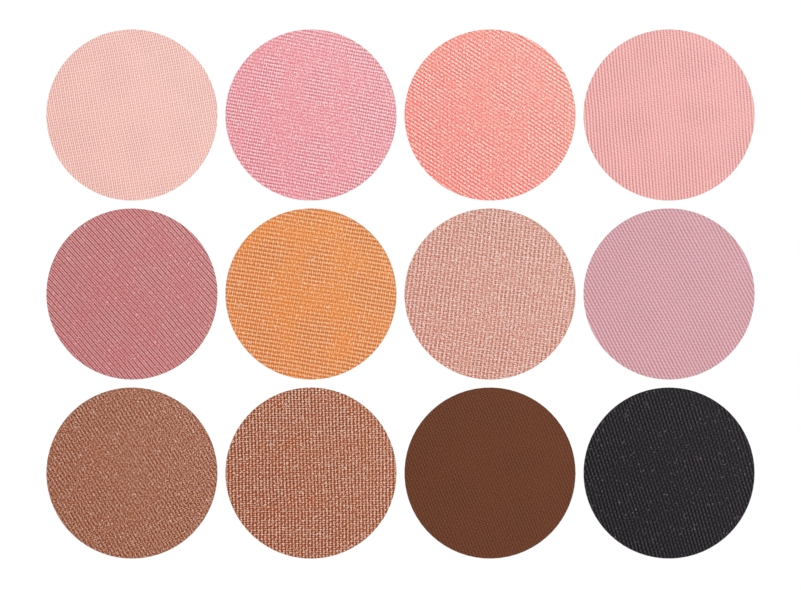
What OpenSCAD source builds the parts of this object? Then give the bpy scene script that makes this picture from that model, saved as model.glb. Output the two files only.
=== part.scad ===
// Hinged compact with twelve round pressed eyeshadows under one white deck.
// Millimetres. Origin at the centre of the base's underside, +Z up, +Y to the hinge.
// The lid is drawn shut and then swung back by lid_open, so it stands open at rest.

/* [Case] */
// Overall width of the shut case
case_w = 128; // [126:1:150]
// Overall depth of the shut case
case_d = 104; // [103:1:112]
// Corner radius of the case, seen from above
corner_r = 8; // [6:1:14]
// Height of the base, from the table to the parting line
base_h = 9; // [9:0.5:12]
// Height of the lid, from the parting line to its top
lid_h = 6; // [6:0.5:9]
// Wall thickness of both shells
wall = 1.8; // [1.6:0.1:2.0]
// Rounding of the outer edges of both shells
edge_r = 1.2; // [0.6:0.1:1.5]
// Angle from shut to the lid's stop
lid_open = 115; // [90:5:120]

/* [Eyeshadows] */
// Diameter of each pressed eyeshadow
powder_d = 26; // [24:0.5:26]
// Distance between neighbouring eyeshadows, both ways
pitch = 27.3; // [27.2:0.1:27.4]
// Height of the powder above the deck's top face
powder_proud = 0.05; // [0:0.05:0.4]
// Sheet thickness of a pan's wall
pan_wall = 0.25; // [0.2:0.05:0.3]
// Sheet thickness of a pan's floor
pan_floor = 0.3; // [0.2:0.05:0.4]

/* [Hinge] */
// Radius of the hinge knuckles
knuckle_r = 2.1; // [1.9:0.1:2.3]
// Diameter of the hinge pin
pin_d = 1.6; // [1.2:0.1:1.8]
// Widths of the knuckles from the middle outwards: base, lid, base
knuckle_w = [18, 24, 12];

/* [Latch] */
// Width of the push button's face
button_w = 18; // [14:1:20]
// Height of the push button's face
button_h = 3.6; // [3:0.2:3.8]
// How far the button travels when it is pressed
button_travel = 1; // [0.8:0.1:1.2]
// Number of grip grooves in the button's face, less one
grip_grooves = 6; // [0:2:8]

/* [Mirror] */
// Width of the mirror glass
mirror_w = 112; // [100:1:114]
// Depth of the mirror glass
mirror_d = 85.5; // [80:0.5:86]
// Thickness of the mirror glass
mirror_t = 1.6; // [1.2:0.1:1.6]

/* [Hidden] */
$fn = 96;
SHADES = [
    ["peach", "#F1C3B9"], ["pink_shimmer", "#ECA5AC"],
    ["coral_shimmer", "#F7A49A"], ["soft_pink", "#EEB1AD"],
    ["rose", "#C27D7E"], ["amber", "#E39762"],
    ["rose_gold", "#D7A496"], ["lilac_pink", "#D4A3AA"],
    ["bronze", "#A46F5A"], ["copper", "#B07A63"],
    ["chocolate", "#6B412E"], ["charcoal", "#312E31"]
];
COLUMNS = 4;
ROWS = 3;

// Plastics and metals, as they look
WHITE = "#F6F5F3";
TRAY_WHITE = "#ECEAE7";
ALUMINIUM = "#C9CBCE";
STEEL = "#A7A9AC";
GLASS = "#DDE6EA";
FOAM = "#4A4A4C";

// Fits
seam = 0.1; // gap between the two rims when shut
fit_gap = 0.2; // gap round a piece that drops into a shell
knuckle_gap = 0.15; // sideways gap between neighbouring knuckles
pocket_gap = 0.2; // radial room that a knuckle turns in
pin_held = 0.01; // radial gap where the pin is held, in the base
pin_runs = 0.04; // radial gap where the pin turns, in the lid

// Heights inside the base
floor_t = 1.8;
tray_floor = 0.8;
dot_t = 0.2;
deck_t = 1;
deck_drop = 0.9;
deck_top = base_h - deck_drop;
deck_low = deck_top - deck_t;
pan_low = floor_t + tray_floor + dot_t;
pan_top = deck_low - 0.2;
powder_low = pan_low + pan_floor;
powder_top = deck_top + powder_proud;
powder_round = 0.1;
deck_chamfer = 0.06;

// Radii of one well, from the powder outwards
powder_r = powder_d / 2;
pan_in_r = powder_r + 0.02;
pan_r = pan_in_r + pan_wall;
pocket_r = pan_r + 0.08;
deck_hole_r = powder_r + 0.03;

// Hinge axis, and the line in front of it where the hollows end
axis_y = case_d / 2 - knuckle_r;
axis_z = base_h;
block_y = axis_y - 4.3;
stop_half_angle = lid_open / 2 + 0.25;
hinge_half_w = knuckle_w[0] / 2 + knuckle_w[1] + knuckle_w[2];
pin_len = 2 * hinge_half_w - 2;

// Heights inside the lid, when it is shut
lid_low = base_h + seam;
lid_top = base_h + lid_h;
lid_t = 1.4;
lid_ceiling = lid_top - lid_t;
pad_t = 0.4;
glass_low = lid_ceiling - pad_t - mirror_t;
bezel_t = 1;
bezel_low = glass_low - bezel_t;
bezel_skirt = 1.2;
mirror_y = -0.25;
mirror_lap = 2;

// Latch, from the front wall backwards
front_y = -case_d / 2;
wall_y = front_y + wall;
tray_front = wall_y + 7.8;
button_z = floor_t + 3;
rail_low = floor_t + 1.2;
rail_high = deck_low - 0.2;
frame_in = 6.6;
frame_out = 8.6;
flange_t = 0.6;
flange_y = wall_y + 0.1;
bar_front = wall_y + 4.3;
bar_t = 1;
lip_reach = 0.9;
lip_low = button_z + 0.8;
lip_high = button_z + 1.8;
hook_half_w = 5;
hook_y = wall_y + 1.9;
hook_t = 1.2;
barb = 0.7;
grip_step = 1.5;
spring_r = 1.6;
spring_wire = 0.35;
spring_turns = 3.5;
button_corner = 0.8;
groove_r = 0.3;
flange_over = 1.6; // how far the flange reaches past the button's face on each side
boss_r = 1;
hook_side = 0.5; // room on each side of the hook
hook_slot = 0.4; // room in front of the hook and behind it
hook_tip = 1.8; // depth of the hook's tip below the lip
barb_ramp = 0.6;

// Ribs, cores and locating bars
rib_x = [16, 32, 48];
rib_half = 0.6;
rail_half = 0.8;
rib_start = 0.5; // how far a rib reaches into the wall or the floor
core_r = 4.6;
edge_core_r = 3.4;
tray_gap = 0.3;
dot_r = 6;
glass_corner = 3;
pad_inset = 6;
locator_x = 36;
locator_y = 26;
locator_half = 6;
locator_t = 1;
locator_out = 0.7; // from the glass's edge to the middle of a locating bar
locator_rise = 1.2;

function well_x(i) = (i % COLUMNS - (COLUMNS - 1) / 2) * pitch;
function well_y(i) = ((ROWS - 1) / 2 - floor(i / COLUMNS)) * pitch;

// Plan outline with round corners
module outline(w, d, r) {
    square([w, d - 2 * r], center = true);
    square([w - 2 * r, d], center = true);
    for (sx = [-1, 1], sy = [-1, 1])
        translate([sx * (w / 2 - r), sy * (d / 2 - r)]) circle(r);
}

// Plan of the hollow inside a shell, less a gap, from y0 back to y1
module hollow(gap, y0, y1) {
    inset = wall + gap;
    intersection() {
        outline(case_w - 2 * inset, case_d - 2 * inset, corner_r - inset);
        translate([-case_w / 2, y0]) square([case_w, y1 - y0]);
    }
}

// Section through a shell's edge: x outwards, y up, with the outer top corner round
module edge_section(h) {
    square([corner_r, h - edge_r]);
    square([corner_r - edge_r, h]);
    translate([corner_r - edge_r, h - edge_r]) circle(edge_r);
}

// Solid body of a shell: flat at z 0, its outer top edge rounded
module shell_blank(h) {
    core_w = case_w - 2 * corner_r;
    core_d = case_d - 2 * corner_r;
    translate([-core_w / 2, -core_d / 2, 0]) cube([core_w, core_d, h]);
    for (s = [0, 1]) rotate(180 * s) {
        translate([core_w / 2, 0, 0])
            rotate([90, 0, 0]) linear_extrude(core_d, center = true) edge_section(h);
        translate([0, core_d / 2, 0])
            rotate([90, 0, 90]) linear_extrude(core_w, center = true) edge_section(h);
    }
    for (sx = [-1, 1], sy = [-1, 1]) {
        turn = sx > 0 ? (sy > 0 ? 0 : 270) : (sy > 0 ? 90 : 180);
        translate([sx * core_w / 2, sy * core_d / 2, 0])
            rotate(turn) rotate_extrude(angle = 90) edge_section(h);
    }
}

// Cylinder along X on the hinge axis
module on_axis(x0, x1, r) {
    translate([x0, axis_y, axis_z]) rotate([0, 90, 0]) cylinder(r = r, h = x1 - x0);
}

// The base's knuckles, grown sideways by g: in the middle and at both ends
module base_knuckles(r, g = 0) {
    on_axis(-knuckle_w[0] / 2 - g, knuckle_w[0] / 2 + g, r);
    for (s = [0, 1]) mirror([s, 0, 0])
        on_axis(hinge_half_w - knuckle_w[2] - g, hinge_half_w + g, r);
}

// The lid's two knuckles, grown sideways by g
module lid_knuckles(r, g = 0) {
    for (s = [0, 1]) mirror([s, 0, 0])
        on_axis(knuckle_w[0] / 2 + knuckle_gap - g,
                knuckle_w[0] / 2 + knuckle_w[1] - knuckle_gap + g, r);
}

// Groove behind the hinge axis: its two faces meet when the lid is at its stop
module hinge_groove() {
    reach = 2 * knuckle_r;
    rise = reach * tan(stop_half_angle);
    translate([0, axis_y, axis_z])
        rotate([90, 0, 90]) linear_extrude(case_w + 2, center = true)
            polygon([[0, 0], [reach, rise], [reach, -rise]]);
}

// Block along X centred on x 0
module bar(half_w, y0, y1, z0, z1) {
    translate([-half_w, y0, z0]) cube([2 * half_w, y1 - y0, z1 - z0]);
}

// Base: floor, walls, hinge block, latch guides and the ribs that carry the deck's front
module base_shell() color(WHITE) difference() {
    union() {
        difference() {
            translate([0, 0, base_h]) mirror([0, 0, 1]) shell_blank(base_h);
            translate([0, 0, floor_t]) linear_extrude(base_h) hollow(0, -case_d, block_y);
            hinge_groove();
        }
        base_knuckles(knuckle_r);
        for (s = [-1, 1], x = rib_x) translate([s * x, 0, 0])
            bar(rib_half, wall_y - rib_start, tray_front - fit_gap, floor_t - rib_start, deck_low);
        for (s = [-1, 1]) {
            translate([s * (frame_out + fit_gap + rib_half), 0, 0])
                bar(rib_half, wall_y + 2, tray_front - fit_gap, floor_t - rib_start, deck_low - 1);
            translate([s * (frame_in + frame_out) / 2, 0, 0])
                bar(rail_half, wall_y + 2, tray_front - fit_gap, floor_t - rib_start, rail_low - 0.1);
        }
    }
    lid_knuckles(knuckle_r + pocket_gap, knuckle_gap);
    on_axis(-hinge_half_w - 1, hinge_half_w + 1, pin_d / 2 + pin_held);
    bar(button_w / 2 + fit_gap, front_y - 1, wall_y + 0.05,
        button_z - button_h / 2 - fit_gap, button_z + button_h / 2 + fit_gap);
}

// Tray with a pocket for each pan, cored from below between the pockets
module well_tray() color(TRAY_WHITE) {
    difference() {
        translate([0, 0, floor_t])
            linear_extrude(deck_low - floor_t) hollow(tray_gap, tray_front, block_y - tray_gap);
        for (i = [0 : COLUMNS * ROWS - 1])
            translate([well_x(i), well_y(i), floor_t + tray_floor]) cylinder(r = pocket_r, h = base_h);
        for (x = [-2 : 2], y = [-0.5, 0.5])
            translate([x * pitch, y * pitch, floor_t - 1]) cylinder(r = core_r, h = deck_low - floor_t);
        for (x = [-1 : 1])
            translate([x * pitch, 1.5 * pitch, floor_t - 1])
                cylinder(r = edge_core_r, h = deck_low - floor_t);
    }
    // boss that the latch spring sits on
    translate([0, tray_front + 0.5, button_z]) rotate([90, 0, 0]) cylinder(r = boss_r, h = 1.4);
}

// Adhesive dot under each pan
module adhesive_dots() color(FOAM) {
    for (i = [0 : COLUMNS * ROWS - 1])
        translate([well_x(i), well_y(i), pan_low - dot_t]) cylinder(r = dot_r, h = dot_t);
}

// Deck that frames the powders, covers the pan rims and is notched for the lid's hook
module deck_plate() color(WHITE) difference() {
    translate([0, 0, deck_low])
        linear_extrude(deck_t) hollow(fit_gap, -case_d, block_y - fit_gap);
    for (i = [0 : COLUMNS * ROWS - 1]) translate([well_x(i), well_y(i), 0]) {
        cylinder(r = deck_hole_r, h = case_d);
        translate([0, 0, deck_top - deck_chamfer])
            cylinder(r1 = deck_hole_r, r2 = deck_hole_r + 2 * deck_chamfer, h = 2 * deck_chamfer);
    }
    bar(hook_half_w + 2, front_y, wall_y + 4.6, deck_low - 1, deck_top + 1);
}

module hinge_pin() color(STEEL) on_axis(-pin_len / 2, pin_len / 2, pin_d / 2);

// Drawn aluminium pan
module pan(i) color(ALUMINIUM) translate([well_x(i), well_y(i), pan_low]) difference() {
    cylinder(r = pan_r, h = pan_top - pan_low);
    translate([0, 0, pan_floor]) cylinder(r = pan_in_r, h = base_h);
}

// Pressed powder, its top edge rounded
module powder(i) color(SHADES[i][1]) translate([well_x(i), well_y(i), powder_low]) {
    h = powder_top - powder_low;
    rotate_extrude() {
        square([powder_r, h - powder_round]);
        square([powder_r - powder_round, h]);
        translate([powder_r - powder_round, h - powder_round]) circle(powder_round);
    }
}

// Push button with a grooved face and the sliding frame that carries the catch lip
module latch_button() color(WHITE) {
    face_y = front_y - button_travel;
    difference() {
        translate([0, flange_y, button_z])
            rotate([90, 0, 0]) linear_extrude(flange_y - face_y) outline(button_w, button_h, button_corner);
        for (k = [-grip_grooves / 2 : grip_grooves / 2])
            translate([k * grip_step, face_y - 0.1, 0]) cylinder(r = groove_r, h = base_h);
    }
    bar(button_w / 2 + flange_over, flange_y, flange_y + flange_t,
        button_z - button_h / 2, button_z + button_h / 2);
    for (s = [-1, 1]) translate([s * (frame_in + frame_out) / 2, 0, 0])
        bar((frame_out - frame_in) / 2, flange_y, bar_front + bar_t, rail_low, rail_high);
    bar(frame_out, bar_front, bar_front + bar_t, rail_low, lip_high);
    bar(hook_half_w + hook_side, bar_front - lip_reach, bar_front + 0.1, lip_low, lip_high);
}

// Ring of points round the spring's wire, t turns along the coil
function spring_ring(t, y0, y1, sides = 8) = [
    for (k = [0 : sides - 1]) let (
        around = 360 * k / sides,
        out = spring_r - spring_wire / 2 + spring_wire / 2 * cos(around),
        y = y0 + (y1 - y0) * t / spring_turns + spring_wire / 2 * sin(around)
    ) [out * cos(360 * t), y, out * sin(360 * t)]
];

// Coil spring that pushes the button out
module button_spring() color(STEEL) translate([0, 0, button_z]) {
    sides = 8;
    steps = 16 * spring_turns;
    y0 = bar_front + bar_t + spring_wire / 2 + 0.02;
    y1 = tray_front - spring_wire / 2 - 0.02;
    points = [for (j = [0 : steps]) each spring_ring(j / 16, y0, y1, sides)];
    walls = [
        for (j = [0 : steps - 1], k = [0 : sides - 1]) let (n = (k + 1) % sides)
            [j * sides + k, j * sides + n, (j + 1) * sides + n, (j + 1) * sides + k]
    ];
    ends = [[for (k = [0 : sides - 1]) sides - 1 - k], [for (k = [0 : sides - 1]) steps * sides + k]];
    polyhedron(points, concat(walls, ends));
}

// Swings a piece that is drawn shut to where it stands with the lid open
module with_lid() {
    translate([0, axis_y, axis_z]) rotate([-lid_open, 0, 0])
        translate([0, -axis_y, -axis_z]) children();
}

// Hook under the lid's front edge: a shank with a ramped barb that the catch lip holds
module hook() {
    tip = lip_low - hook_tip;
    barb_low = tip + barb_ramp;
    barb_high = lip_low - 0.1;
    rotate([90, 0, 90]) linear_extrude(2 * hook_half_w, center = true) polygon([
        [hook_y, lid_ceiling + 0.5],
        [hook_y, tip],
        [hook_y + hook_t, tip],
        [hook_y + hook_t + barb, barb_low],
        [hook_y + hook_t + barb, barb_high],
        [hook_y + hook_t, barb_high],
        [hook_y + hook_t, lid_ceiling + 0.5]
    ]);
}

// Lid: top, walls, hinge block, knuckles and hook
module lid_shell() color(WHITE) with_lid() difference() {
    union() {
        difference() {
            translate([0, 0, lid_low]) shell_blank(lid_top - lid_low);
            translate([0, 0, lid_low - 1])
                linear_extrude(lid_ceiling - lid_low + 1) hollow(0, -case_d, block_y);
            hinge_groove();
        }
        lid_knuckles(knuckle_r);
        hook();
    }
    base_knuckles(knuckle_r + pocket_gap, knuckle_gap);
    on_axis(-hinge_half_w, hinge_half_w, pin_d / 2 + pin_runs);
}

// Frame that holds the mirror, with a skirt up to the lid's ceiling and ribs round the glass
module mirror_bezel() color(WHITE) with_lid() difference() {
    union() {
        translate([0, 0, bezel_low])
            linear_extrude(bezel_t) hollow(fit_gap, -case_d, block_y - fit_gap);
        translate([0, 0, bezel_low]) linear_extrude(lid_ceiling - bezel_low) difference() {
            hollow(fit_gap, -case_d, block_y - fit_gap);
            hollow(fit_gap + bezel_skirt, -case_d, block_y - fit_gap - bezel_skirt);
        }
        for (s = [-1, 1], x = [-locator_x, locator_x])
            translate([x, mirror_y + s * (mirror_d / 2 + locator_out), 0])
                bar(locator_half, -locator_t / 2, locator_t / 2, bezel_low, glass_low + locator_rise);
        for (s = [-1, 1], y = [-locator_y, locator_y])
            translate([s * (mirror_w / 2 + locator_out), y, 0])
                bar(locator_t / 2, -locator_half, locator_half, bezel_low, glass_low + locator_rise);
    }
    translate([0, mirror_y, bezel_low - 1])
        linear_extrude(bezel_t + 2)
            outline(mirror_w - 2 * mirror_lap, mirror_d - 2 * mirror_lap, glass_corner);
    bar(hook_half_w + hook_side, hook_y - hook_slot, hook_y + hook_t + barb + hook_slot,
        bezel_low - 1, lid_top);
}

module mirror_glass() color(GLASS) with_lid()
    translate([0, mirror_y, glass_low]) linear_extrude(mirror_t) outline(mirror_w, mirror_d, glass_corner);

// Foam tape between the glass and the lid
module mirror_pad() color(FOAM) with_lid()
    translate([0, mirror_y, glass_low + mirror_t])
        linear_extrude(pad_t) outline(mirror_w - 2 * pad_inset, mirror_d - 2 * pad_inset, glass_corner);

base_shell();
well_tray();
adhesive_dots();
deck_plate();
hinge_pin();
latch_button();
button_spring();
lid_shell();
mirror_bezel();
mirror_glass();
mirror_pad();
for (i = [0 : COLUMNS * ROWS - 1]) {
    pan(i);
    powder(i);
}
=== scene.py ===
# %% [markdown]
# # A hinged palette of twelve pressed eyeshadows
#
# The shape, the sizes and the joints come from the imported CAD model, which is loaded first and never
# changed. This lesson gives each piece its finished mesh and its material, then sets up a plain studio.
# Everything is in metres, +Z is up and +Y runs from the push button to the hinge.

# %% Load the CAD model
import math

import bmesh
import bpy
from mathutils import Matrix, Vector, noise


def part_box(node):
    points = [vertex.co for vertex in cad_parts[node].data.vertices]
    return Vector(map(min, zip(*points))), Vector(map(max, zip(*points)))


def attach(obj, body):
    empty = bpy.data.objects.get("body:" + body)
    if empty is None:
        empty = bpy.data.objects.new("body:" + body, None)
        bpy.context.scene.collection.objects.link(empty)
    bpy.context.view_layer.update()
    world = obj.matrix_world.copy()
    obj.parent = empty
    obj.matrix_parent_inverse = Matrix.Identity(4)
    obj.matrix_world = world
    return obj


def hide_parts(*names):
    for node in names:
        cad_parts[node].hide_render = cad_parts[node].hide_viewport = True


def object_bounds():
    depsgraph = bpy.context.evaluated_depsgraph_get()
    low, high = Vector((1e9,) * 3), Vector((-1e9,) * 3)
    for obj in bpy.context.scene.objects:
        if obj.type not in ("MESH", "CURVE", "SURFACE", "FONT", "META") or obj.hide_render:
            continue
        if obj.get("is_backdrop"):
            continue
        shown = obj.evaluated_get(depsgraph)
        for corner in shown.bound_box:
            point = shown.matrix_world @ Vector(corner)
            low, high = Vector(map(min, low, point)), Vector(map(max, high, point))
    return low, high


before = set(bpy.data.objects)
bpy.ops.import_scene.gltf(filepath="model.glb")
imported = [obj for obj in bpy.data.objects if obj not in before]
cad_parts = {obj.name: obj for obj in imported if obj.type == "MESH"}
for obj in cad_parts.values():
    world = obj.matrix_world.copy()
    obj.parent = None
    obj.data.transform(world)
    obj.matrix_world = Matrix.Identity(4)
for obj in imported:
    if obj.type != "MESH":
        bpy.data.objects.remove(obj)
cad_low, cad_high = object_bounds()
MM = 0.001

# %% [markdown]
# ## Colours and nodes
#
# A colour picked on a screen is an sRGB hex value, but a shader works in linear light, so one function
# turns one into the other. A second one adds a node with its settings and its links in a single readable
# line, which keeps a long material short enough to follow.


# %% Two helpers for materials
def linear(hex_colour):
    """A linear RGBA colour from an sRGB hex value."""
    parts = [int(hex_colour[i : i + 2], 16) / 255 for i in (0, 2, 4)]
    return [c / 12.92 if c <= 0.04045 else ((c + 0.055) / 1.055) ** 2.4 for c in parts] + [1.0]


def add(tree, kind, settings):
    """Adds a node. A setting names an option or a socket, and a node or an output given there is linked."""
    made = tree.nodes.new("ShaderNode" + kind)
    for name, value in settings.items():
        if isinstance(value, bpy.types.Node):
            value = value.outputs[0]
        if isinstance(value, bpy.types.NodeSocket):
            tree.links.new(value, made.inputs[name])
        elif isinstance(name, str) and hasattr(made, name):
            setattr(made, name, value)
        else:
            made.inputs[name].default_value = value
    return made


def new_material(name, settings):
    """A material with one Principled shader, and the pieces of it that the recipes need."""
    material = bpy.data.materials.new(name)
    material.use_nodes = True
    tree = material.node_tree
    tree.nodes.clear()
    shader = add(tree, "BsdfPrincipled", settings)
    add(tree, "OutputMaterial", {"Surface": shader})
    place = add(tree, "TexCoord", {}).outputs["Object"]
    return material, tree, shader, place


print(f"a screen grey of 808080 is {linear('808080')[0]:.3f} in linear light")

# %% [markdown]
# ## Moulded plastic
#
# The case is white ABS, injection moulded in a polished tool, so it has a soft gloss and a very faint
# ripple that only shows in a highlight. The deck is the same plastic from a finely blasted tool: a smooth
# matt face with a dry grain of about a fifth of a millimetre. A flat white would look like paper, so both
# vary a little in colour and in roughness across a few centimetres, as a real moulding does.


# %% White ABS, glossy and matt
DRIFT_SIZE = 35 * MM  # how far apart the slow changes of colour and gloss are


def moulded_abs(name, light, dark, roughness, grain_mm, grain_depth_mm):
    """ABS plastic: a slow drift of colour and gloss, and the grain that the tool left."""
    material, tree, shader, place = new_material(name, {"IOR": 1.54})
    drift = add(tree, "TexNoise", {"Vector": place, "Scale": 1 / DRIFT_SIZE, "Detail": 3.0})
    colour = add(tree, "ValToRGB", {"Fac": drift})
    colour.color_ramp.elements[0].position = 0.3
    colour.color_ramp.elements[0].color = linear(dark)
    colour.color_ramp.elements[1].position = 0.7
    colour.color_ramp.elements[1].color = linear(light)
    tree.links.new(colour.outputs["Color"], shader.inputs["Base Color"])
    grain = add(tree, "TexNoise", {"Vector": place, "Scale": 1 / (grain_mm * MM), "Detail": 2.0})
    rough = add(tree, "MapRange", {"Value": drift, "To Min": roughness - 0.05, "To Max": roughness + 0.05})
    tree.links.new(rough.outputs["Result"], shader.inputs["Roughness"])
    bump = add(tree, "Bump", {"Height": grain, "Strength": 1.0, "Distance": grain_depth_mm * MM})
    tree.links.new(bump.outputs["Normal"], shader.inputs["Normal"])
    return material


case_plastic = moulded_abs("white_abs_polished", "F0EFEC", "EBEAE6", 0.30, 2.5, 0.006)
deck_plastic = moulded_abs("white_abs_fine_matt", "FEFEFD", "FCFCFB", 0.46, 0.22, 0.002)
tray_plastic = moulded_abs("white_abs_plain_inside", "F0EEEA", "EAE8E3", 0.50, 0.4, 0.004)
for plastic in (case_plastic, deck_plastic, tray_plastic):
    print(f"{plastic.name}: {len(plastic.node_tree.nodes)} nodes")

# %% [markdown]
# ## Metals, glass and tape
#
# The pans are drawn aluminium and the pin and spring are bright steel wire: both are metals, so the shader
# is fully metallic, keeps its default IOR, and takes fine lines along the way it was drawn. The mirror is
# silvered glass, which reads as a very smooth, slightly cool metal with a faint haze. The tape is black
# foam. The drawing lines of real metal are finer than could be seen here, so they are drawn coarser.


# %% Drawn metal, mirror and foam
def drawn_metal(name, tint, roughness, line_mm, stretch):
    """Bright metal with fine drawing lines: noise squeezed by stretch, which has one figure per axis."""
    material, tree, shader, place = new_material(name, {"Metallic": 1.0})
    along = add(tree, "Mapping", {"Vector": place, "Scale": stretch})
    lines = add(tree, "TexNoise", {"Vector": along, "Scale": 1 / (line_mm * MM), "Detail": 3.0})
    colour = add(tree, "ValToRGB", {"Fac": lines})
    colour.color_ramp.elements[0].color = [c * 0.8 for c in linear(tint)[:3]] + [1.0]
    colour.color_ramp.elements[1].color = linear(tint)
    tree.links.new(colour.outputs["Color"], shader.inputs["Base Color"])
    rough = add(tree, "MapRange", {"Value": lines, "To Min": roughness - 0.08, "To Max": roughness + 0.08})
    tree.links.new(rough.outputs["Result"], shader.inputs["Roughness"])
    bump = add(tree, "Bump", {"Height": lines, "Strength": 1.0, "Distance": 0.002 * MM})
    tree.links.new(bump.outputs["Normal"], shader.inputs["Normal"])
    return material


def silvered_glass():
    """The mirror: polished glass with a silver back, and a trace of haze from handling."""
    material, tree, shader, place = new_material("silvered_glass", {"Metallic": 1.0})
    haze = add(tree, "TexNoise", {"Vector": place, "Scale": 1 / (18 * MM), "Detail": 4.0})
    rough = add(tree, "MapRange", {
        "Value": haze, "From Min": 0.4, "From Max": 0.8, "To Min": 0.008, "To Max": 0.03})
    tree.links.new(rough.outputs["Result"], shader.inputs["Roughness"])
    colour = add(tree, "ValToRGB", {"Fac": haze})
    colour.color_ramp.elements[0].color = linear("EFF3F4")
    colour.color_ramp.elements[1].color = linear("E9EEF0")
    tree.links.new(colour.outputs["Color"], shader.inputs["Base Color"])
    return material


def foam_tape():
    """Black foam: fine open cells, quite dull."""
    material, tree, shader, place = new_material("foam_tape_black", {"Roughness": 0.9})
    cells = add(tree, "TexVoronoi", {"Vector": place, "Scale": 1 / (0.25 * MM)})
    colour = add(tree, "ValToRGB", {"Fac": cells})
    colour.color_ramp.elements[0].color = linear("1B1B1C")
    colour.color_ramp.elements[1].color = linear("3A3A3C")
    tree.links.new(colour.outputs["Color"], shader.inputs["Base Color"])
    bump = add(tree, "Bump", {"Height": cells, "Distance": 0.05 * MM})
    tree.links.new(bump.outputs["Normal"], shader.inputs["Normal"])
    return material


pan_aluminium = drawn_metal("aluminium_drawn", "DADCDE", 0.32, 0.3, (1.0, 1.0, 0.1))
bright_steel = drawn_metal("steel_wire_bright", "C9CBCD", 0.25, 0.15, (0.1, 1.0, 1.0))
mirror_silver = silvered_glass()
tape_foam = foam_tape()
for finish in (pan_aluminium, bright_steel, mirror_silver, tape_foam):
    print(f"{finish.name}: {len(finish.node_tree.nodes)} nodes")
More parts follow.
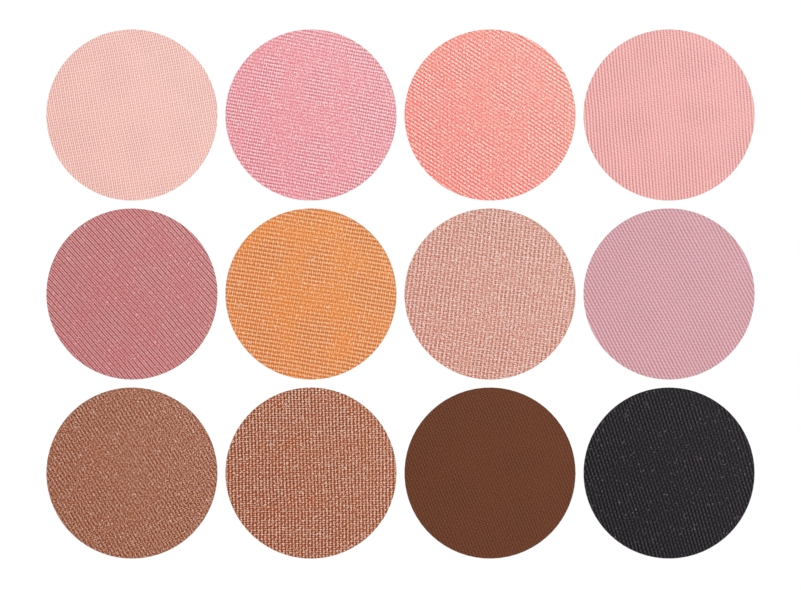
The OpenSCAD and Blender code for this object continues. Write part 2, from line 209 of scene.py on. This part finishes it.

# %% [markdown]
# ## Pressed powder
#
# A powder is pressed through a piece of cloth, and the cloth leaves its weave in the face: ribs about half
# a millimetre apart, crossed by finer threads. In plain weave every second rib is shifted by half a step.
# The print isn't even. It bends a little with the cloth, each crossing prints lighter or darker than the
# next, and it fades in soft patches where the cloth slipped. Matt shades are only pigment and talc. Pearly
# shades hold flakes of mica that catch the light as tiny specks, mostly on the crests of the print.

# %% The twelve shades
# groove, body and crest are the colours from the bottom to the top of the print: the groove colour is
# painted shade and the crest colour painted light, around the body's own colour. fleck is the colour of
# the mica and of the painted glint where a flake flashes. turn is the direction across the ribs in degrees,
# rib and weft the two thread spacings in millimetres. waves weighs the ribs, the cross threads, the two
# diagonals that the shift of every second rib draws, every second cross thread, and the sharp double line
# that a cord weave leaves between its ribs.
# uneven is how much the crossings differ from one another, grain how much single grains do, and mica the
# share of the flakes that flash. fade is how far the print dies away in soft patches, and worn is a place
# (x, y and radius in millimetres) where the face is rubbed smoother. rough is the roughness between flakes.
SHADES = {
    "peach": dict(
        groove="D8958B", body="F8C7BB", crest="FBDFDA", fleck_and_glint="F6DDD6",
        turn=-79.3, rib=0.453, weft=0.321, waves=(0.33, 0.93, 0.17, 0.09, 0.32, 0.00),
        uneven=0.06, grain=0.15, mica=0.0, fade=0.20, worn=(6, 2, 6), rough=0.85),
    "pink_shimmer": dict(
        groove="D36F7E", body="EB929A", crest="F4DEE0", fleck_and_glint="F8E6E8",
        turn=78.9, rib=0.519, weft=0.342, waves=(0.70, 0.58, 0.07, 0.19, 0.09, 0.00),
        uneven=0.30, grain=0.58, mica=0.06, fade=0.55, worn=(3, 8, 8), rough=0.60),
    "coral_shimmer": dict(
        groove="F25C5F", body="F19086", crest="F8EBDA", fleck_and_glint="FBEBD2",
        turn=57.1, rib=0.524, weft=0.343, waves=(0.65, 0.23, 0.12, 0.17, 0.02, 0.00),
        uneven=0.20, grain=0.52, mica=0.05, fade=0.50, worn=(4, 6, 8), rough=0.60),
    "soft_pink": dict(
        groove="D48887", body="F5B3AD", crest="F6CAC9", fleck_and_glint="F4CECB",
        turn=5.0, rib=0.484, weft=0.280, waves=(1.03, 0.42, 0.28, 0.11, 0.00, 0.00),
        uneven=0.20, grain=0.26, mica=0.0, fade=0.30, worn=(4, 8, 7), rough=0.85),
    "rose": dict(
        groove="9B4E52", body="C06D6F", crest="E1ADAA", fleck_and_glint="EBC9C6",
        turn=41.7, rib=0.662, weft=0.392, waves=(0.52, 0.03, 0.02, 0.02, 0.00, -1.00),
        uneven=0.12, grain=0.40, mica=0.03, fade=0.40, worn=(3, 3, 7), rough=0.70),
    "amber": dict(
        groove="C96A3C", body="E6893F", crest="EFC59C", fleck_and_glint="FBE6CF",
        turn=80.4, rib=0.606, weft=0.337, waves=(0.88, 0.70, 0.15, 0.28, 0.25, 0.16),
        uneven=0.08, grain=0.46, mica=0.04, fade=0.55, worn=(-4, 9, 7), rough=0.60),
    "rose_gold": dict(
        groove="B2614D", body="D79885", crest="E7D3CC", fleck_and_glint="F8EEEA",
        turn=-6.9, rib=0.607, weft=0.335, waves=(0.58, 0.42, 0.23, 0.10, 0.21, 0.09),
        uneven=0.27, grain=0.72, mica=0.1, fade=0.35, worn=(0, 3, 6), rough=0.60),
    "lilac_pink": dict(
        groove="BD838C", body="D9A5AC", crest="E4BAC0", fleck_and_glint="E6C6CA",
        turn=28.0, rib=0.485, weft=0.279, waves=(1.05, 0.25, 0.36, 0.22, 0.00, 0.00),
        uneven=0.10, grain=0.28, mica=0.0, fade=0.15, worn=(2, 4, 5), rough=0.85),
    "bronze": dict(
        groove="692E1C", body="9C5C40", crest="C89D88", fleck_and_glint="E6CFC4",
        turn=31.9, rib=0.528, weft=0.336, waves=(0.54, 0.22, 0.07, 0.09, 0.05, 0.13),
        uneven=0.22, grain=0.93, mica=0.035, fade=0.45, worn=(1, 3, 8), rough=0.65),
    "copper": dict(
        groove="68372D", body="A8521F", crest="E2BCA8", fleck_and_glint="F6E6DC",
        turn=1.5, rib=0.524, weft=0.341, waves=(0.72, 0.50, 0.07, 0.29, 0.14, 0.00),
        uneven=0.12, grain=0.60, mica=0.06, fade=0.25, worn=(0, 1, 6), rough=0.50),
    "chocolate": dict(
        groove="502C1C", body="6B3E2A", crest="784C36", fleck_and_glint="805643",
        turn=22.9, rib=0.444, weft=0.317, waves=(0.60, 0.60, 0.08, 0.12, 0.03, 0.00),
        uneven=0.25, grain=0.42, mica=0.0, fade=0.40, worn=(0, 2, 7), rough=0.90),
    "charcoal": dict(
        groove="0F0A0C", body="232126", crest="464244", fleck_and_glint="7A747C",
        turn=17.6, rib=0.519, weft=0.344, waves=(0.80, 0.20, 0.09, 0.25, 0.01, 0.00),
        uneven=0.05, grain=0.50, mica=0.018, fade=0.45, worn=(-1, 1, 6), rough=0.75),
}
RELIEF = 0.030 * MM  # depth of the cloth's print in the powder
THREAD_BEND = 0.35  # how far a thread wanders from straight, in millimetres
BEND_LENGTH = 11.11  # how far apart such bends are, in millimetres
PATCH_SIZE = 6.25  # how far apart the soft patches are, in millimetres
# Real grains and flakes are a few hundredths of a millimetre wide, which wouldn't show, so these are coarser.
GRAIN_SIZE = 0.17  # a clump of pigment or a flake of mica, in millimetres
TINT = 0.20  # how much the grains of one shade differ in hue
PAINTED_LIGHT_SLOPE = (7.0, 5.0, 0.0)  # painted light: tone gained per metre, so each disc is a little lighter towards the back right
FLAKE_ROUGH = 0.35  # a flake of mica that lies right is smoother than the powder round it
ribs = [look["rib"] for look in SHADES.values()]
print(f"{len(SHADES)} shades, with ribs from {min(ribs)} to {max(ribs)} mm apart")

# %% [markdown]
# ## The weave as a field
#
# The print could be a brick or a wave texture, but those have one kind of edge, and the print of cloth in
# powder is soft and has a rhythm in two directions. So the weave is drawn with cosines: one wave for the
# ribs, one for the cross threads, and two diagonal waves for the shift of every second rib. The same field
# colours the powder, with painted shade in the grooves and painted light on the crests, and lifts it as a
# bump, so light and colour agree.


# %% Bent threads, their height and where they faded
def cloth_coordinates(tree, place, look, centre):
    """Millimetres from centre, turned so that x runs across the ribs: straight, and bent with the cloth."""
    flat = add(tree, "Mapping", {
        "Vector": place, "vector_type": "TEXTURE", "Location": centre,
        "Rotation": (0, 0, math.radians(look["turn"])), "Scale": (MM, MM, MM)})
    bend = add(tree, "TexNoise", {"Vector": flat, "Scale": 1 / BEND_LENGTH, "Detail": 1.0})
    bend_mm = add(tree, "VectorMath", {
        "operation": "SCALE", 0: bend.outputs["Color"], "Scale": 2 * THREAD_BEND})
    return flat, add(tree, "VectorMath", {"operation": "ADD", 0: flat, 1: bend_mm})


def weave_height(tree, bent, look):
    """The height of the print, a weighted sum of waves, and where the crests are, from 0 to 1."""

    def wave(across, along):
        turns = add(tree, "VectorMath", {
            "operation": "DOT_PRODUCT", 0: bent, 1: (2 * math.pi * across, 2 * math.pi * along, 0)})
        return add(tree, "Math", {"operation": "COSINE", 0: turns.outputs["Value"]})

    rib, weft = 1 / look["rib"], 1 / look["weft"]
    waves = [wave(rib, 0), wave(0, weft), wave(rib / 2, weft / 2), wave(rib / 2, -weft / 2),
             wave(0, weft / 2), wave(2 * rib, 0)]
    total = 0.0
    for height, weight in zip(waves, look["waves"]):
        total = add(tree, "Math", {"operation": "MULTIPLY_ADD", 0: height, 1: weight, 2: total})
    over, under = [add(tree, "Math", {"operation": "MULTIPLY_ADD", 0: height, 1: 0.5, 2: 0.5})
                   for height in waves[:2]]
    return total, add(tree, "Math", {"operation": "MULTIPLY", 0: over, 1: under})


def print_strength(tree, flat, look):
    """How strongly the cloth printed: 1, less soft patches and less the place that is worn smooth."""
    patches = add(tree, "TexNoise", {"Vector": flat, "Scale": 1 / PATCH_SIZE, "Detail": 2.0})
    even = add(tree, "MapRange", {
        "Value": patches, "interpolation_type": "SMOOTHSTEP", "From Min": 0.35, "From Max": 0.6,
        "To Min": 1 - look["fade"], "To Max": 1.0})
    x, y, radius = look["worn"]
    spot = Matrix.Rotation(-math.radians(look["turn"]), 2) @ Vector((x, y))
    away = add(tree, "VectorMath", {"operation": "DISTANCE", 0: flat, 1: (spot.x, spot.y, 0)})
    worn = add(tree, "MapRange", {
        "Value": away.outputs["Value"], "interpolation_type": "SMOOTHSTEP", "From Min": 0.2 * radius,
        "From Max": radius, "To Min": 1 - look["fade"], "To Max": 1.0})
    return add(tree, "Math", {"operation": "MULTIPLY", 0: even, 1: worn})


# %% [markdown]
# ## Crossings, grains and mica
#
# Three things break up the print. Each crossing of the threads draws a random number, which makes it a
# little lighter or darker. The powder is a heap of grains, which a fine coloured noise stands for: its mean
# is how light a grain is, and its hue tints the grain. Each flake of mica lies at its own slope, and the
# few that lie right flash, the more so on the crests: the flash is partly the flake's own lighter colour
# and partly a painted glint. The flakes are cells and not noise, because a flake has an edge.


# %% Uneven crossings, loose grains and mica
def crossing_tone(tree, bent, crest, look):
    """How much lighter or darker than the rest each crossing of the threads printed."""
    counted = add(tree, "VectorMath", {"operation": "DIVIDE", 0: bent, 1: (look["rib"], look["weft"], 1)})
    centred = add(tree, "VectorMath", {"operation": "ADD", 0: counted, 1: (0.5, 0.5, 0)})
    crossing = add(tree, "VectorMath", {"operation": "FLOOR", 0: centred})
    thrown = add(tree, "TexWhiteNoise", {"noise_dimensions": "2D", "Vector": crossing}).outputs["Value"]
    unlike = add(tree, "MapRange", {"Value": thrown, "To Min": -look["uneven"], "To Max": look["uneven"]})
    return add(tree, "Math", {"operation": "MULTIPLY", 0: unlike, 1: crest})


def loose_grains(tree, flat, look):
    """The colour of the grains, how light each one is, and what that adds to the tone."""
    grains = add(tree, "TexNoise", {
        "noise_dimensions": "2D", "Vector": flat, "Scale": 1 / GRAIN_SIZE, "Detail": 0.0}).outputs["Color"]
    mean = add(tree, "VectorMath", {"operation": "DOT_PRODUCT", 0: grains, 1: (1 / 3, 1 / 3, 1 / 3)})
    lightness = mean.outputs["Value"]
    loose = add(tree, "MapRange", {
        "Value": lightness, "clamp": False, "From Min": 0.36, "From Max": 0.64,
        "To Min": -look["grain"], "To Max": look["grain"]})
    return grains, lightness, loose


def painted_mica_glint(tree, flat, crest, mica):
    """Where a flake lies right and flashes, from 0 to 1: where a glint is painted. mica is the share of the
    flakes that do.
    """
    flakes = add(tree, "TexVoronoi", {"voronoi_dimensions": "2D", "Vector": flat, "Scale": 1 / GRAIN_SIZE})
    slope = add(tree, "SeparateColor", {0: flakes.outputs["Color"]}).outputs["Green"]
    aligned = add(tree, "MapRange", {"Value": slope, "From Min": 1 - mica, "From Max": 1 - 0.3 * mica})
    raised = add(tree, "MapRange", {"Value": crest, "To Min": 0.4, "To Max": 1.0})
    return add(tree, "Math", {"operation": "MULTIPLY", 0: aligned, 1: raised})


# %% [markdown]
# ## The powder itself
#
# Pressed powder is a dull, finely broken surface with almost no shine of its own, so its specular level is
# low. All that makes a spot lighter or darker is added up to one tone, and a ramp of three colours turns
# the tone into the groove, the body or the crest of the print: painted shade in the grooves and painted
# light on the crests. Mixing whole shaders would cost more and show no more.


# %% One recipe for every shade
def pressed_powder(name, look, centre):
    """Pressed eyeshadow: the print as painted shade and light in three tones, crossings, grain and mica."""
    material, tree, shader, place = new_material("powder_" + name, {"IOR": 1.45, "Specular IOR Level": 0.1})
    flat, bent = cloth_coordinates(tree, place, look, centre)
    weave, crest = weave_height(tree, bent, look)
    printed = add(tree, "Math", {"operation": "MULTIPLY", 0: weave, 1: print_strength(tree, flat, look)})
    knots = crossing_tone(tree, bent, crest, look)
    grains, lightness, loose = loose_grains(tree, flat, look)
    # Painted light: each disc is made a little lighter towards the back right.
    apart = add(tree, "VectorMath", {"operation": "SUBTRACT", 0: place, 1: centre})
    painted_light = add(tree, "VectorMath", {"operation": "DOT_PRODUCT", 0: apart, 1: PAINTED_LIGHT_SLOPE}).outputs["Value"]
    tone = printed
    for change in (knots, loose, painted_light):
        tone = add(tree, "Math", {"operation": "ADD", 0: tone, 1: change})
    level = add(tree, "Math", {"operation": "MULTIPLY_ADD", 0: tone, 1: 0.5, 2: 0.5})
    # Painted shade in the grooves and painted light on the crests, around the body's own colour.
    colour = add(tree, "ValToRGB", {"Fac": level})
    ramp = colour.color_ramp
    ramp.elements[0].color = linear(look["groove"])
    ramp.elements[1].color = linear(look["crest"])
    ramp.elements.new(0.5).color = linear(look["body"])
    base = add(tree, "Mix", {
        "data_type": "RGBA", "blend_type": "OVERLAY", 0: TINT, 6: colour.outputs["Color"],
        7: grains}).outputs[2]

    # A flashing flake is smooth and shows a lighter colour: partly its own, partly a painted glint.
    # Without mica, only the grains vary the roughness.
    rough = look["rough"]
    if look["mica"] > 0:
        flash = painted_mica_glint(tree, flat, crest, look["mica"])
        base = add(tree, "Mix", {
            "data_type": "RGBA", 0: flash, 6: base, 7: linear(look["fleck_and_glint"])}).outputs[2]
        polish = add(tree, "MapRange", {"Value": flash, "To Min": rough, "To Max": FLAKE_ROUGH})
    else:
        polish = add(tree, "MapRange", {"Value": lightness, "To Min": rough - 0.05, "To Max": rough + 0.05})
    tree.links.new(base, shader.inputs["Base Color"])
    tree.links.new(polish.outputs[0], shader.inputs["Roughness"])
    lift = add(tree, "Math", {"operation": "MULTIPLY_ADD", 0: loose, 1: 0.2, 2: printed})
    bump = add(tree, "Bump", {"Height": lift, "Strength": 1.0, "Distance": RELIEF})
    tree.links.new(bump.outputs["Normal"], shader.inputs["Normal"])
    return material


# %% [markdown]
# ## Finishing a mesh
#
# Every new piece ends the same way: its mesh becomes an object at the origin, it is shaded smooth except
# over real edges, it takes a material, it is tied to a body, and the CAD node that it stands for is hidden.


# %% From bmesh to a piece that rides
SHARP_ANGLE = math.radians(35)  # faces that meet at more than this have a real edge between them


def piece_from(bm, name, material, body, stands_for):
    """Turns bm into the finished piece called name, and prints how big its mesh is."""
    mesh = bpy.data.meshes.new(name)
    bm.to_mesh(mesh)
    bm.free()
    mesh.shade_smooth()
    mesh.set_sharp_from_angle(angle=SHARP_ANGLE)
    mesh.materials.append(material)
    piece = bpy.data.objects.new(name, mesh)
    bpy.context.scene.collection.objects.link(piece)
    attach(piece, body)
    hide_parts(stands_for)
    triangles = sum(len(p.vertices) - 2 for p in mesh.polygons)
    print(f"{name}: {triangles} triangles")
    return piece


# %% [markdown]
# ## The powders
#
# A pressed powder is a low disc whose top edge is soft and whose face is very slightly crowned, because the
# press follows the cloth. It could be spun from a profile, but a cylinder with a bevelled rim and a few
# inset rings gives the same form with even faces that can then be lifted to the crown.

# %% Twelve crowned discs
CROWN = 0.06 * MM  # how far the middle stands above the rim
EDGE_ROUND = 0.03 * MM
PACKED_OUT = 0.02 * MM  # the press squeezes the powder against the wall of its window
FACE_RINGS = 14
DIP_SIZE = 9 * MM  # the face is a little uneven, over this distance
DIP_DEPTH = 0.012 * MM  # and by this much
TINY = 1e-7  # two heights nearer than this are the same height


def powder_disc(low, high, seed):
    """A crowned disc that fills the box from low to high, with slight unevenness from the press."""
    centre = (low + high) / 2
    radius = (high.x - low.x) / 2 + PACKED_OUT
    height = high.z - low.z - CROWN
    bm = bmesh.new()
    bmesh.ops.create_cone(bm, cap_ends=True, segments=144, radius1=radius, radius2=radius, depth=height)
    bmesh.ops.translate(bm, verts=bm.verts, vec=(centre.x, centre.y, low.z + height / 2))
    top_z = low.z + height
    rim = [e for e in bm.edges if all(abs(v.co.z - top_z) < TINY for v in e.verts)]
    bmesh.ops.bevel(bm, geom=rim, offset=EDGE_ROUND, offset_type="OFFSET", segments=5, profile=0.5,
                    affect="EDGES", material=-1)
    face = max((f for f in bm.faces if f.normal.z > 0.9), key=lambda f: f.calc_area())
    ring = (radius - EDGE_ROUND) / (FACE_RINGS + 1)
    for _ in range(FACE_RINGS):
        bmesh.ops.inset_region(bm, faces=[face], thickness=ring, use_even_offset=True)
    bmesh.ops.poke(bm, faces=[face])
    for v in bm.verts:
        if v.co.z > top_z - TINY:
            out = Vector((v.co.x - centre.x, v.co.y - centre.y)).length / radius
            dip = noise.noise(Vector((v.co.x / DIP_SIZE, v.co.y / DIP_SIZE, seed))) * DIP_DEPTH
            v.co.z += (CROWN + dip) * max(0.0, 1 - out * out)
    return bm


for seed, (name, look) in enumerate(SHADES.items()):
    low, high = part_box("powder_" + name)
    middle = (low + high) / 2
    powder = pressed_powder(name, look, (middle.x, middle.y, 0))
    piece_from(powder_disc(low, high, seed), "pressed_" + name, powder, "base",
               "powder_" + name)

# %% [markdown]
# ## The case
#
# The CAD nodes of the shells, the deck, the mirror frame and the button already have their true shape, but
# moulded plastic never has a knife edge: each outer corner has a small radius that catches a thin line of
# light. So each is copied, its loose triangles are merged, and its sharp edges get a rounded bevel. Smooth
# shading would then bend the light over the wide flat faces too, which shows at once in a mirror, so the
# normals are weighted by area and the flat faces stay flat. The mirror's glass has a wider ground edge,
# which is made the same way.


# %% Softened copies of the moulded pieces
SAME_CORNER = 0.002 * MM  # corners nearer than this are one corner, in the CAD mesh's loose triangles
SAME_FACE = math.radians(0.5)  # triangles that meet at less than this are parts of one face


def softened_copy(node, offset_mm):
    """A merged copy of a CAD node with its sharp edges rounded."""
    bm = bmesh.new()
    bm.from_mesh(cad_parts[node].data)
    bmesh.ops.remove_doubles(bm, verts=bm.verts, dist=SAME_CORNER)
    bmesh.ops.dissolve_limit(bm, angle_limit=SAME_FACE, verts=bm.verts, edges=bm.edges)
    sharp = [e for e in bm.edges if len(e.link_faces) == 2 and e.calc_face_angle() > SHARP_ANGLE]
    bmesh.ops.bevel(bm, geom=sharp, offset=offset_mm * MM, offset_type="OFFSET", segments=3,
                    profile=0.5, affect="EDGES", clamp_overlap=True, material=-1)
    print(f"{node}: {len(sharp)} sharp edges rounded")
    return bm


for node, name, offset_mm, material, body, slot in (
    ("base_shell", "case_base", 0.15, case_plastic, "base", "case_plastic"),
    ("lid_shell", "case_lid", 0.15, case_plastic, "lid", "case_plastic"),
    ("deck_plate", "deck", 0.03, deck_plastic, "base", "deck_plastic"),
    ("mirror_bezel", "mirror_frame", 0.12, case_plastic, "lid", "case_plastic"),
    ("latch_button", "push_button", 0.08, case_plastic, "latch_button", "case_plastic"),
    ("mirror_glass", "mirror", 0.40, mirror_silver, "lid", "mirror_silver"),
):
    softened = piece_from(softened_copy(node, offset_mm), name, material, body, node)
    softened.modifiers.new("flat faces stay flat", "WEIGHTED_NORMAL").keep_sharp = True

# %% [markdown]
# ## Pieces that keep their CAD mesh
#
# The tray, the pans, the adhesive dots, the foam tape, the pin and the spring are hidden or nearly hidden,
# and their CAD mesh has their true shape. A copy with softer edges would show nothing more, so they stay as
# they are and only take the material of the real piece.

# %% Materials for the CAD nodes that stay
KEPT = {"well_tray": tray_plastic, "adhesive_dots": tape_foam, "mirror_pad": tape_foam,
        "hinge_pin": bright_steel, "button_spring": bright_steel}
for name in SHADES:
    KEPT["pan_" + name] = pan_aluminium
for node, material in KEPT.items():
    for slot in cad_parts[node].material_slots:
        slot.material = material
print(f"{len(KEPT)} CAD nodes keep their mesh and take a material")

# %% [markdown]
# ## The studio
#
# The object is shown on a plain pale floor under soft light. A bright, even sky does most of the work, so
# that white plastic stays white, and one large soft lamp from the front left gives the print of the cloth a
# side that is lit and a side that isn't.

# %% Floor, sky and lamps
FLOOR_SIZE = 6.0
SKY_STRENGTH = 0.58
floor_bm = bmesh.new()
bmesh.ops.create_grid(floor_bm, x_segments=1, y_segments=1, size=FLOOR_SIZE / 2)
floor_mesh = bpy.data.meshes.new("studio_floor")
floor_bm.to_mesh(floor_mesh)
floor_bm.free()
floor = bpy.data.objects.new("studio_floor", floor_mesh)
bpy.context.scene.collection.objects.link(floor)
floor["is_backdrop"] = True
paper = new_material("paper_sweep", {"Base Color": linear("DEDEDE"), "Roughness": 0.9})[0]
floor_mesh.materials.append(paper)

world = bpy.data.worlds.new("studio_sky")
bpy.context.scene.world = world
world.use_nodes = True
sky = world.node_tree.nodes["Background"]
sky.inputs["Color"].default_value = (1.0, 1.0, 1.0, 1.0)
sky.inputs["Strength"].default_value = SKY_STRENGTH
print(f"{floor.name}: {FLOOR_SIZE:.0f} m square, under a sky of strength {SKY_STRENGTH}")


def soft_lamp(name, position, target, size, power):
    """A square area lamp at position, aimed at target."""
    lamp = bpy.data.lights.new(name, "AREA")
    lamp.size = size
    lamp.energy = power
    holder = bpy.data.objects.new(name, lamp)
    holder.location = position
    holder.rotation_euler = (Vector(target) - Vector(position)).to_track_quat("-Z", "Y").to_euler()
    bpy.context.scene.collection.objects.link(holder)
    print(f"{name}: {size} m square, {power} W")


soft_lamp("key_front_left", (-0.55, -0.60, 0.95), (0, 0, 0), 0.5, 7.2)
soft_lamp("fill_right", (0.80, -0.20, 0.70), (0, 0, 0.02), 0.7, 2.4)

# %% [markdown]
# ## The camera
#
# The palette is seen straight from above with a long lens, so the discs stay round across the whole frame.
# The distance follows from how wide a strip of the deck the frame has to hold: the four columns and a
# margin.

# %% Straight down on the powders
LENS = 200.0
SENSOR = 36.0
SIDE_MARGIN = 7.111 * MM  # how much deck is in view beyond the outer columns
TO_THE_FRONT = 0.16 * MM  # how far the camera stands from the middle of the grid, towards the button
powder_boxes = [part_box("powder_" + name) for name in SHADES]
grid_middle = sum((low + high for low, high in powder_boxes), Vector()) / (2 * len(powder_boxes))
powder_top = max(high.z for low, high in powder_boxes)
grid_width = max(high.x for low, high in powder_boxes) - min(low.x for low, high in powder_boxes)
view_width = grid_width + 2 * SIDE_MARGIN
camera_data = bpy.data.cameras.new("camera_above")
camera_data.lens = LENS
camera_data.sensor_width = SENSOR
camera = bpy.data.objects.new("camera_above", camera_data)
camera_z = powder_top + view_width * LENS / SENSOR
camera.location = (grid_middle.x, grid_middle.y - TO_THE_FRONT, camera_z)
bpy.context.scene.collection.objects.link(camera)
bpy.context.scene.camera = camera
bpy.context.scene.view_settings.view_transform = "Standard"
print(f"the camera sees {view_width / MM:.3f} mm of deck from {camera_z / MM:.1f} mm above the table")

# %% [markdown]
# ## The two boxes
#
# The finished pieces have to fill the same box as the CAD model, because both describe one object. The two
# boxes are measured and printed side by side.

# %% Measure both boxes
now_low, now_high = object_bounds()
for box_name, low, high in (("CAD", cad_low, cad_high), ("finished", now_low, now_high)):
    print(box_name, "box:", " x ".join(f"{(b - a) / MM:.2f}" for a, b in zip(low, high)), "mm")
